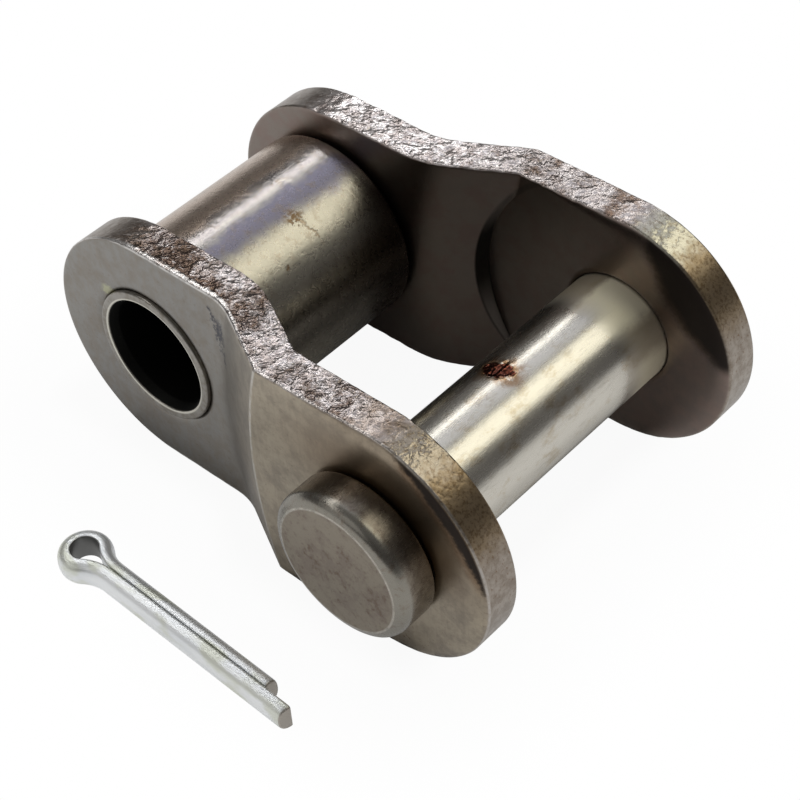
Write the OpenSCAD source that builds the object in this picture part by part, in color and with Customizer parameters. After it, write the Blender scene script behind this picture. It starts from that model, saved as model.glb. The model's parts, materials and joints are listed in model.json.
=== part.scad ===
// Offset link of a roller chain: two cranked plates, a pressed bush with its roller, a headed
// connecting pin and the split pin that locks it, which lies drawn out beside the link.
// X runs from the bush axis to the pin axis, Y along both axes, Z up. The bush centre is the origin.

/* [Link] */
// Distance from the bush axis to the pin axis
pitch = 38.1; // [36:0.1:44]
// Gap between the plates at the bush end
bush_gap = 26; // [22:0.1:30]
// Thickness of the plates
plate_t = 4.8; // [4:0.1:5.6]
// Radius of the plates' round ends, and half their height
plate_r = 15.5; // [14:0.1:17]

/* [Crank] */
// Angle of the sloping stretch to the link's length, in degrees
crank_angle = 29; // [26:1:36]
// Distance from the pin axis to the outer ridge, on the link's centre line
ridge_back = 17.2; // [16:0.1:19]
// Radius of the curve that the ridge follows across the plate
ridge_curve_r = 56; // [45:1:80]
// Inside radius of the soft bend by the bush
bend_r = 8; // [4:0.5:10]

/* [Bush and roller] */
// Wall of the bush
bush_wall = 1.6; // [1.2:0.05:2]
// How far each end of the bush stands out of its plate
bush_proud = 0.3; // [0.1:0.05:0.4]
// Chamfer at the mouths of the bush bore
bush_chamfer = 0.5; // [0.1:0.05:0.8]
// Wall of the roller
roller_wall = 3.45; // [2.5:0.05:3.6]
// Rounding of the roller's end edges
roller_round = 0.8; // [0.3:0.1:1.2]

/* [Pin] */
// Radius of the pin
pin_r = 7; // [6.5:0.05:7.5]
// Radius of the pin's head
head_r = 9.15; // [8.6:0.05:10]
// Height of the pin's head
head_h = 5.3; // [4:0.1:6]
// Width of the bevel round the head's face
head_bevel = 1.2; // [0.6:0.1:1.6]
// Depth of the bevel round the head's face
head_bevel_depth = 1; // [0.6:0.1:1.6]
// Chamfer under the head, against the plate
head_under = 0.5; // [0.2:0.1:0.8]
// Length of the pin that stands out of the plate at its free end
pin_tail = 7.6; // [6.5:0.1:10]
// Chamfer at the pin's free end
pin_chamfer = 1.2; // [0.5:0.1:1.8]

/* [Split pin] */
// Diameter of the split pin's closed legs
cotter_d = 3.4; // [3:0.1:4]
// Length of the short leg, from the neck of the eye
cotter_short = 24.8; // [20:0.1:30]
// How much further the long leg reaches
cotter_reach = 3.9; // [2:0.1:5]
// Slit between the legs
cotter_slit = 0.3; // [0.2:0.05:0.6]
// Radius of the hole in the eye
eye_r = 1.7; // [1.5:0.1:2.2]
// Slant of the long leg's cut end, in degrees
tip_slant = 12; // [0:1:30]
// Where the split pin's neck lies along the link
cotter_x = 10.5; // [6:0.1:14]
// How far the split pin's neck lies out from the face of the pin's head
cotter_space = 8.3; // [6:0.1:14]
// How far the split pin turns out from the link's length, in degrees
cotter_turn = 2; // [0:0.5:8]

/* [Fits] */
// Play of the next link's plates against these, on each side
next_link_play = 0.55; // [0.45:0.05:0.9]
// Room round the next link's plate ends as they swing
swing_room = 3.5; // [2.5:0.1:4]
// Radial clearance of the pin in the bush bore and the plates
pin_clearance = 0.05; // [0.02:0.01:0.1]
// Radial clearance of the roller on the bush
roller_clearance = 0.08; // [0.02:0.01:0.1]
// End play of the roller against each plate
roller_play = 0.3; // [0.2:0.05:0.5]
// Radial grip of the plates on the bush
bush_grip = 0.01; // [0:0.005:0.02]
// Gap between the pin's head and its plate
head_gap = 0.1; // [0.05:0.05:0.3]
// Radial clearance of the split pin in its hole
cotter_clearance = 0.25; // [0.1:0.05:0.4]
// Gap between the split pin's hole and the plate
cotter_gap = 1; // [0.5:0.1:1.5]

/* [Hidden] */
$fn = 96;
// How far cuts and blanks run past the solids they shape
PAST = 1;
// How far a bend's arc runs past the faces it joins, so that it crosses them cleanly
EASE = 0.01;

// Half widths across the link, from the middle plane
bush_inner = bush_gap / 2;
bush_outer = bush_inner + plate_t;
crank_offset = plate_t + next_link_play;
pin_inner = bush_inner + crank_offset;
pin_outer = bush_outer + crank_offset;
head_seat = pin_outer + head_gap;
head_face = head_seat + head_h;

// Radii from the inside out
bush_bore_r = pin_r + pin_clearance;
bush_r = bush_bore_r + bush_wall;
roller_bore_r = bush_r + roller_clearance;
roller_r = roller_bore_r + roller_wall;
pin_hole_r = pin_r + pin_clearance;
relief_r = plate_r + swing_room;
cotter_hole_r = cotter_d / 2 + cotter_clearance;

// The ridge is an arc about this line, which is parallel to the pin
ridge_axis_x = pitch - ridge_back + ridge_curve_r;
crank_run = crank_offset / tan(crank_angle);
// Shift of a bend line from one face of the sheet to the other
face_shift = plate_t * tan(crank_angle / 2);

// Split pin: the eye's curve passes into each leg's on a line that rises 4 in 3
joint_angle = atan2(4, 3);
neck_r = 4 * eye_r - 5 * cotter_slit / 2;
eye_back = (eye_r + neck_r) * 3 / 5;
cotter_long = cotter_short + cotter_reach;
// How far the neck's curve laps into the eye's, so that both are one solid
joint_lap = 0.3;

// What rounds a corner with edges along unit vectors a and b: the corner outside an arc of radius r
module corner_cut(corner, a, b, r, ease = 0) {
    half = acos(a * b) / 2;
    reach = r / tan(half);
    middle = (a + b) / norm(a + b);
    centre = corner + middle * (r / sin(half));
    difference() {
        polygon([corner - middle, corner + a * reach, centre, corner + b * reach]);
        translate(centre)
            circle(r + ease);
    }
}

// Section through the bent sheet, with the distance from the ridge's axis across and Y up the page
module sheet_section() {
    near = ridge_axis_x - pitch - plate_r - PAST;
    far = ridge_axis_x + plate_r + PAST;
    outward = [1, 0];
    slope = [cos(crank_angle), sin(crank_angle)];
    ridge = [ridge_curve_r, -pin_outer];
    valley = ridge + [crank_run, crank_offset];
    shift = [-face_shift, plate_t];
    bend_reach = bend_r * tan(crank_angle / 2);
    bend_centre = valley + [bend_reach, -bend_r];
    difference() {
        polygon([
            [near, -pin_outer], ridge, valley - slope * bend_reach, bend_centre, valley + outward * bend_reach,
            [far, -bush_outer], [far, -bush_inner], valley + shift, ridge + shift, [near, -pin_inner]
        ]);
        translate(bend_centre)
            circle(bend_r + EASE);
        corner_cut(valley + shift, outward, -slope, bend_r + plate_t, EASE);
    }
}

// Outline of a plate from the side: round ends joined by straight edges
module plate_outline() {
    circle(plate_r);
    translate([pitch, 0])
        circle(plate_r);
    translate([0, -plate_r])
        square([pitch, 2 * plate_r]);
}

// Cylinder along Y from y0 to y1 at a distance x along the link
module cross_cylinder(x, y0, y1, r) {
    translate([x, y0, 0])
        rotate([-90, 0, 0])
            cylinder(h = y1 - y0, r = r);
}

// Cranked plate on the head's side of the link
module cranked_plate() {
    difference() {
        intersection() {
            translate([0, -bush_inner + PAST, 0])
                rotate([90, 0, 0])
                    linear_extrude(crank_offset + plate_t + 2 * PAST)
                        plate_outline();
            translate([ridge_axis_x, 0, 0])
                rotate([-90, 0, 0])
                    rotate_extrude()
                        sheet_section();
        }
        cross_cylinder(0, -bush_outer - PAST, -bush_inner + PAST, bush_r - bush_grip);
        cross_cylinder(pitch, -pin_outer - PAST, -pin_inner + PAST, pin_hole_r);
        cross_cylinder(pitch, -pin_inner, -bush_inner + PAST, relief_r);
    }
}

module head_side_plate() {
    color("#7d766d")
        cranked_plate();
}

module cotter_side_plate() {
    color("#7d766d")
        mirror([0, 1, 0])
            cranked_plate();
}

// Pressed bush, with a chamfer at each mouth of its bore
module bush() {
    half = bush_outer + bush_proud;
    color("#8f8a82")
        rotate([-90, 0, 0])
            rotate_extrude()
                polygon([
                    [bush_bore_r + bush_chamfer, -half], [bush_r, -half], [bush_r, half],
                    [bush_bore_r + bush_chamfer, half], [bush_bore_r, half - bush_chamfer],
                    [bush_bore_r, -half + bush_chamfer]
                ]);
}

// Roller that turns on the bush between the plates
module roller() {
    half = bush_inner - roller_play;
    color("#b3aa9a")
        rotate([-90, 0, 0])
            rotate_extrude()
                difference() {
                    translate([roller_bore_r, -half])
                        square([roller_wall, 2 * half]);
                    corner_cut([roller_r, half], [-1, 0], [0, -1], roller_round);
                    corner_cut([roller_r, -half], [-1, 0], [0, 1], roller_round);
                }
}

// Headed pin, cross-drilled at its free end for the split pin
module pin() {
    tip = pin_outer + pin_tail;
    color("#a9a294")
        difference() {
            translate([pitch, 0, 0])
                rotate([-90, 0, 0])
                    rotate_extrude()
                        polygon([
                            [0, -head_face], [head_r - head_bevel, -head_face],
                            [head_r, -head_face + head_bevel_depth], [head_r, -head_seat - head_under],
                            [head_r - head_under, -head_seat], [pin_r, -head_seat],
                            [pin_r, tip - pin_chamfer], [pin_r - pin_chamfer, tip], [0, tip]
                        ]);
            translate([pitch, pin_outer + cotter_gap + cotter_hole_r, -pin_r - PAST])
                cylinder(h = 2 * (pin_r + PAST), r = cotter_hole_r);
        }
}

// Half-round section of the split pin's wire, with its flat on the line x = 0
module half_round() {
    intersection() {
        translate([-cotter_slit / 2, 0])
            circle(d = cotter_d);
        translate([0, -cotter_d])
            square([cotter_d, 2 * cotter_d]);
    }
}

// Block on the eye's side (0) or the leg's side (-1) of the line where their curves meet, set off by a lap
module joint_cut(side, lap = 0) {
    size = 4 * cotter_d;
    translate([-eye_back, 0, -size / 2])
        rotate([0, 0, joint_angle])
            translate([-size / 2, side * size + lap, 0])
                cube(size);
}

// Half of the split pin, on the side of positive Y: its leg, the curve of its neck and half the eye
module cotter_half(length, slant) {
    // How far, in degrees, each curve is swept past the line that it is then cut on
    past_joint = 10;
    difference() {
        translate([0, cotter_slit / 2, 0])
            rotate([90, 0, 90])
                linear_extrude(length)
                    half_round();
        translate([length, cotter_slit / 2, -cotter_d])
            rotate([0, 0, slant])
                cube(2 * cotter_d);
    }
    difference() {
        translate([0, neck_r + cotter_slit / 2, 0])
            rotate([0, 0, -90])
                mirror([0, 1, 0])
                    rotate_extrude(angle = 90 - joint_angle + past_joint)
                        translate([neck_r, 0])
                            mirror([1, 0])
                                half_round();
        joint_cut(0, joint_lap);
    }
    difference() {
        translate([-eye_back, 0, 0])
            rotate([0, 0, 180])
                mirror([0, 1, 0])
                    rotate_extrude(angle = 180 - joint_angle + past_joint)
                        translate([eye_r, 0])
                            half_round();
        joint_cut(-1);
    }
}

// Split pin lying on the surface that the link stands on, with its eye level
module cotter() {
    color("#b9bbb9")
        translate([cotter_x, -head_face - cotter_space, -plate_r + cotter_d / 2])
            rotate([0, 0, -cotter_turn]) {
                cotter_half(cotter_short, 0);
                mirror([0, 1, 0])
                    cotter_half(cotter_long, tip_slant);
            }
}

head_side_plate();
cotter_side_plate();
bush();
roller();
pin();
cotter();
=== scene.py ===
"""Looks of an offset chain link: sheared, cranked plates, polished roller and pin, zinc split pin."""
import json
import math

import bmesh
import bpy
import numpy as np
from mathutils import Matrix, Vector, noise
from mathutils.geometry import delaunay_2d_cdt


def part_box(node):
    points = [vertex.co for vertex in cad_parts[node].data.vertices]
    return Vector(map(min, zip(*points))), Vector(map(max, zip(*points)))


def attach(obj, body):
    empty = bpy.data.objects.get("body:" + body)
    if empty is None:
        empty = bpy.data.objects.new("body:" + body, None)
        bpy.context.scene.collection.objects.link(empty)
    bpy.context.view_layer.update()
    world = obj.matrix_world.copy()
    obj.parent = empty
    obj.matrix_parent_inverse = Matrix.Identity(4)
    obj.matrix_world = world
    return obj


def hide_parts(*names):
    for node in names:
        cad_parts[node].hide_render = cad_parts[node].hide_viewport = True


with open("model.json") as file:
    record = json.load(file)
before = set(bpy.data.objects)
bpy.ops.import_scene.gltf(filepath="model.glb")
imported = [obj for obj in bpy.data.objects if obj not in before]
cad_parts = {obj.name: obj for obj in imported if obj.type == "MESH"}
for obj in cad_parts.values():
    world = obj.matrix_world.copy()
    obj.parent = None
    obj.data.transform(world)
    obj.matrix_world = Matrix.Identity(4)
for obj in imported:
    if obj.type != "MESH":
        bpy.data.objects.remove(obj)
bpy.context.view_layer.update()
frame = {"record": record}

# All sizes are in millimetres until a mesh is made
MM = 0.001


def node_box(node):
    """Lowest and highest corner of a solid."""
    low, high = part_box(node)
    return np.array(low) / MM, np.array(high) / MM


# Sizes read from the frame
plate_low, plate_high = node_box("head_side_plate")
bush_low, bush_high = node_box("bush")
roller_low, roller_high = node_box("roller")
pin_low, pin_high = node_box("pin")
cotter_low, cotter_high = node_box("cotter")
mounts = {mount["name"]: mount for mount in frame["record"]["mounts"]}

PLATE_R = plate_high[2]
PITCH = plate_high[0] - PLATE_R
PIN_OUTER = -plate_low[1]
BUSH_INNER = -plate_high[1]
FLOOR = plate_low[2]
BUSH_R = bush_high[2]
BUSH_END = bush_high[1]
BORE_R = mounts["bush_bore"]["dims"]["r_mm"]
ROLLER_R = roller_high[2]
ROLLER_END = roller_high[1]
HEAD_R = pin_high[2]
HEAD_FACE = -pin_low[1]
PIN_TIP = pin_high[1]
CROSS_HOLE = mounts["cotter_hole"]
CROSS_HOLE_R = CROSS_HOLE["dims"]["r_mm"]
PIN_R = CROSS_HOLE["dims"]["length_mm"] / 2

# Sizes of the bent sheet
PLATE_T = 4.8
CRANK = math.radians(29)
RIDGE_R = 56.0
RIDGE_AXIS_X = PITCH - 17.2 + RIDGE_R
BEND_R = 8.0
RELIEF_R = 19.0
PIN_HOLE_R = PIN_R + 0.05
BUSH_HOLE_R = BUSH_R + 0.02
BUSH_OUTER = BUSH_INNER + PLATE_T
PIN_INNER = PIN_OUTER - PLATE_T
CRANK_RUN = (PIN_OUTER - BUSH_OUTER) / math.tan(CRANK)
FACE_SHIFT = PLATE_T * math.tan(CRANK / 2)
BEND_CENTRE = RIDGE_R + CRANK_RUN + BEND_R * math.tan(CRANK / 2)

# Dark scores and a dab of stain on the near plate's narrow end, in the link's plane
FACE_SCORES = (
    ((11.0, 13.4), (12.0, 11.8), 0.55),
    ((12.0, 11.8), (12.9, 9.2), 1.5),
    ((12.9, 9.2), (13.6, 7.4), 0.6),
    ((12.9, 12.3), (13.3, 10.8), 0.6),
)
STAKE_DAB = (-6.8, 6.3)

# Width of the rounded rim of the pin's head
HEAD_RIM = 1.35

# Rusty scuff on the roller: its middle along the roller and round it, and its radius
SCUFF_Y = 1.0
SCUFF_ARC = 13.6
SCUFF_R = 1.7

# Spacing of the points on the plates' edges and faces
EDGE_STEP = 0.17
FACE_STEP = 0.8
HOLE_POINTS = 168
HOLE_ROWS = (0, 0.03, 0.1, 0.5, 0.9, 0.97, 1)
RELIEF_POINTS = 400
RIM_STEPS = (0, 0.07, 0.16, 0.28, 0.44, 0.66, 0.95, 1.3, 1.75)
HOLE_STEPS = (0, 0.06, 0.14, 0.26, 0.42, 0.64, 0.9, 1.15)
RELIEF_STEPS = (-0.35, -0.05, 0.05, 0.35)
RIDGE_STEPS = (-0.6, -0.25, 0, 0.25, 0.6)
RIM_GAP = 0.2
RELIEF_GAP = 0.5
RIDGE_GAP = 0.3

# How far in from its rim a face follows the torn edge, and how much of the tear the burr holds back
TEAR_REACH = 0.7
BURR_HOLD = 0.6

# Lead-in of the bush's bore
BUSH_CHAMFER = 0.5
BUSH_LEAD = 1.3

# The roller's bore and its rounded ends
ROLLER_BORE_R = BUSH_R + 0.08
ROLLER_ROUND = 1.2

# Underside of the pin's head, and the chamfer of its free end
HEAD_SEAT = PIN_OUTER + 0.1
TIP_CHAMFER = 1.2

# Rust pit on the pin's shank: its middle along the shank and round it, and its half sizes
PIT_Y = -0.6
PIT_ARC = math.radians(101) * PIN_R
PIT_LONG = 1.5
PIT_WIDE = 2.1

# Split pin: its half-round wire, its eye and neck, its legs and where it lies
WIRE_R = (cotter_high[2] - cotter_low[2]) / 2
SLIT = 0.15
WIRE_EASE = 0.18
FLAT_SWELL = 0.09
EYE_R = 1.7
NECK_R = 4 * EYE_R - 5 * SLIT
NECK_TURN = math.radians(90) - math.atan2(4, 3)
EYE_X = -(EYE_R + NECK_R) * 3 / 5
SHORT_LEG = 24.8
LONG_LEG = 28.7
LEG_STEP = 0.5
TIP_SLANT = math.radians(12)
TIP_EASE = 0.45
TIP_SHRINK = 0.2
TIP_RINGS = (0.4, 0.7, 0.92, 1)
SLANT_RINGS = 4
SPLIT_PIN_TURN = math.radians(-2)
SPLIT_PIN_PLACE = (10.5, -HEAD_FACE - 8.3, FLOOR + WIRE_R)

# Half the floor's width, in metres
FLOOR_REACH = 4.0

# Watts that give a lamp of one square metre a brightness of 1
WATTS_TO_BRIGHTNESS = math.pi

# The viewpoint
CAMERA_PLACE = Vector((139.918, -121.507, 159.068)) * MM
CAMERA_AIM = Vector((20.160, 0.850, -9.119)) * MM
CAMERA_ROLL = math.radians(-4.09)
CAMERA_LENS = 92.39
CAMERA_SENSOR = 36


def smooth_step(low, high, value):
    """0 below low, 1 above high, and an S curve between."""
    share = np.clip((value - low) / (high - low), 0, 1)
    return share * share * (3 - 2 * share)


def new_piece(name, points, faces, body, finish, marks=None):
    """A smooth mesh from points in millimetres, on a body, with its finish and painted values."""
    mesh = bpy.data.meshes.new(name)
    mesh.from_pydata((np.asarray(points) * MM).tolist(), [], faces)
    mesh.validate()
    mesh.shade_smooth()
    for mark, values in (marks or {}).items():
        mesh.attributes.new(mark, "FLOAT", "POINT").data.foreach_set("value", np.asarray(values, np.float32))
    mesh.materials.append(finish)
    piece = bpy.data.objects.new(name, mesh)
    bpy.context.scene.collection.objects.link(piece)
    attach(piece, body)
    return piece


# Shader wiring

class Wire:
    """An output of a shader node. Arithmetic on wires and numbers adds Math nodes."""

    def __init__(self, finish, socket):
        self.finish = finish
        self.socket = socket

    def maths(self, operation, first, second):
        return self.finish.node("ShaderNodeMath", {"operation": operation}, {0: first, 1: second})

    def __add__(self, other):
        return self.maths("ADD", self, other)

    def __radd__(self, other):
        return self.maths("ADD", other, self)

    def __sub__(self, other):
        return self.maths("SUBTRACT", self, other)

    def __rsub__(self, other):
        return self.maths("SUBTRACT", other, self)

    def __mul__(self, other):
        return self.maths("MULTIPLY", self, other)

    def __rmul__(self, other):
        return self.maths("MULTIPLY", other, self)

    def __truediv__(self, other):
        return self.maths("DIVIDE", self, other)

    def __pow__(self, other):
        return self.maths("POWER", self, other)


class Finish:
    """A material whose nodes are added one by one."""

    def __init__(self, tree):
        self.tree = tree
        tree.nodes.clear()

    def node(self, kind, settings=None, inputs=None, output=0):
        """Adds a node, with its settings first and then its inputs, and returns one of its outputs."""
        made = self.tree.nodes.new(kind)
        for name, value in (settings or {}).items():
            setattr(made, name, value)
        for name, value in (inputs or {}).items():
            socket = made.inputs[name]
            if isinstance(value, Wire):
                self.tree.links.new(value.socket, socket)
            else:
                socket.default_value = value
        return Wire(self, made.outputs[output]) if len(made.outputs) else None

    def place(self):
        """Where a point is on the object, in millimetres."""
        metres = self.node("ShaderNodeTexCoord", output="Object")
        return self.node("ShaderNodeVectorMath", {"operation": "SCALE"}, {0: metres, "Scale": 1 / MM})

    def axes(self, vector):
        """The three parts of a vector."""
        return [self.node("ShaderNodeSeparateXYZ", None, {0: vector}, axis) for axis in "XYZ"]

    def grain(self, place, scale, detail=3.0, roughness=0.55, stretch=(1, 1, 1)):
        """Cloudy noise with a number of waves to the millimetre, from about 0.25 to 0.75."""
        pulled = self.node("ShaderNodeVectorMath", {"operation": "MULTIPLY"}, {0: place, 1: stretch})
        inputs = {"Vector": pulled, "Scale": scale, "Detail": detail, "Roughness": roughness}
        return self.node("ShaderNodeTexNoise", None, inputs, "Fac")

    def ramp(self, value, low, high, start=0.0, end=1.0):
        """A value between low and high, taken to one between start and end along an S curve."""
        inputs = {"Value": value, "From Min": low, "From Max": high, "To Min": start, "To Max": end}
        return self.node("ShaderNodeMapRange", {"interpolation_type": "SMOOTHSTEP"}, inputs)

    def blend(self, share, first, second):
        """A colour between two."""
        return self.node("ShaderNodeMix", {"data_type": "RGBA"}, {0: share, 6: first, 7: second}, 2)

    def mark(self, name):
        """A value painted on the mesh's points."""
        return self.node("ShaderNodeAttribute", {"attribute_name": name}, output="Fac")

    def turn(self, across, up):
        """Angle of a point round the origin, in degrees from -180 to 180."""
        return self.node("ShaderNodeMath", {"operation": "ARCTAN2"}, {0: up, 1: across}) * math.degrees(1)

    def stroke(self, across, up, start, end, width):
        """1 on a line between two points of a plane, falling to 0 at a width beside it."""
        run = end[0] - start[0]
        rise = end[1] - start[1]
        along = ((across - start[0]) * run + (up - start[1]) * rise) / (run ** 2 + rise ** 2)
        along = self.node("ShaderNodeClamp", None, {"Value": along})
        side = across - start[0] - along * run
        over = up - start[1] - along * rise
        return self.ramp((side * side + over * over) ** 0.5, width, width * 0.3)

    def scales(self, place, scale, stretch, smoothness=0.25):
        """Rounded grains packed side by side: 0 at the middle of each and about 0.6 where they meet."""
        pulled = self.node("ShaderNodeVectorMath", {"operation": "MULTIPLY"}, {0: place, 1: stretch})
        inputs = {"Vector": pulled, "Scale": scale, "Smoothness": smoothness}
        return self.node("ShaderNodeTexVoronoi", {"feature": "SMOOTH_F1"}, inputs, "Distance")

    def mix(self, share, first, second):
        """A number between two."""
        return self.node("ShaderNodeMix", {"data_type": "FLOAT"}, {0: share, 2: first, 3: second})

    def bump(self, height, depth, strength=1.0, normal=None):
        """A normal from a height field whose unit is depth, in millimetres."""
        inputs = {"Height": height, "Distance": depth * MM, "Strength": strength}
        if normal:
            inputs["Normal"] = normal
        return self.node("ShaderNodeBump", None, inputs)

    def size(self, value):
        """A number without its sign."""
        return self.node("ShaderNodeMath", {"operation": "ABSOLUTE"}, {0: value})

    def most(self, first, second):
        """The larger of two numbers."""
        return self.node("ShaderNodeMath", {"operation": "MAXIMUM"}, {0: first, 1: second})

    def metal(self, colour, roughness, normal=None, metallic=1.0):
        """Ends the tree in a metal."""
        inputs = {"Base Color": colour, "Roughness": roughness, "Metallic": metallic}
        if normal:
            inputs["Normal"] = normal
        shader = self.node("ShaderNodeBsdfPrincipled", None, inputs)
        self.node("ShaderNodeOutputMaterial", None, {"Surface": shader})


def new_finish(name):
    """An empty material and the finish that fills it."""
    material = bpy.data.materials.new(name)
    material.use_nodes = True
    return material, Finish(material.node_tree)


# Finishes

# Colours of the plates
NARROW_END_GREY = (0.238, 0.231, 0.217, 1)
WIDE_END_STRAW = (0.37, 0.319, 0.244, 1)
SMUDGE_BROWN = (0.19, 0.165, 0.135, 1)
MOTTLE_BROWN = (0.2, 0.172, 0.138, 1)
BRUSHED_BROWN = (0.24, 0.2, 0.16, 1)
SPECK_BROWN = (0.16, 0.115, 0.085, 1)
# Painted shade for the inner faces between the plates, and a smudge on it
INNER_SHADE_LIGHT = (0.205, 0.172, 0.15, 1)
INNER_SHADE_DARK = (0.165, 0.13, 0.118, 1)
INNER_SMUDGE = (0.205, 0.15, 0.132, 1)
WALL_SHADE_LOW_END = (0.055, 0.047, 0.041, 1)
WALL_SHADE_HIGH_END = (0.16, 0.135, 0.117, 1)
WALL_SHADE = (0.014, 0.012, 0.01, 1)
RIDGE_HIGHLIGHT = (0.55, 0.53, 0.49, 1)
HEAD_SHADOW_BROWN = (0.18, 0.13, 0.085, 1)
FOOT_RIM_DARK = (0.05, 0.038, 0.028, 1)
LOW_RIM_DARK = (0.05, 0.036, 0.026, 1)
RUST_BROWN = (0.14, 0.08, 0.04, 1)
SCALE_BLACK = (0.02, 0.017, 0.016, 1)
FRECKLE_RUST = (0.13, 0.07, 0.035, 1)
SCORE_BLACK = (0.03, 0.03, 0.042, 1)
DAB_OLIVE = (0.42, 0.42, 0.27, 1)
TORN_WARM = (0.42, 0.365, 0.345, 1)
TORN_GREY = (0.36, 0.325, 0.31, 1)
TORN_BROWN = (0.13, 0.08, 0.05, 1)
STRAW_SPECK = (0.16, 0.11, 0.065, 1)
PATCH_BROWN = (0.2, 0.15, 0.105, 1)
RUBBED_LIGHT = (0.3, 0.264, 0.23, 1)
RUBBED_DARK = (0.19, 0.155, 0.125, 1)
TARNISH_LIGHT = (0.26, 0.19, 0.11, 1)
TARNISH_DARK = (0.15, 0.1, 0.05, 1)
BURR_HIGHLIGHT = (0.66, 0.64, 0.62, 1)


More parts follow.
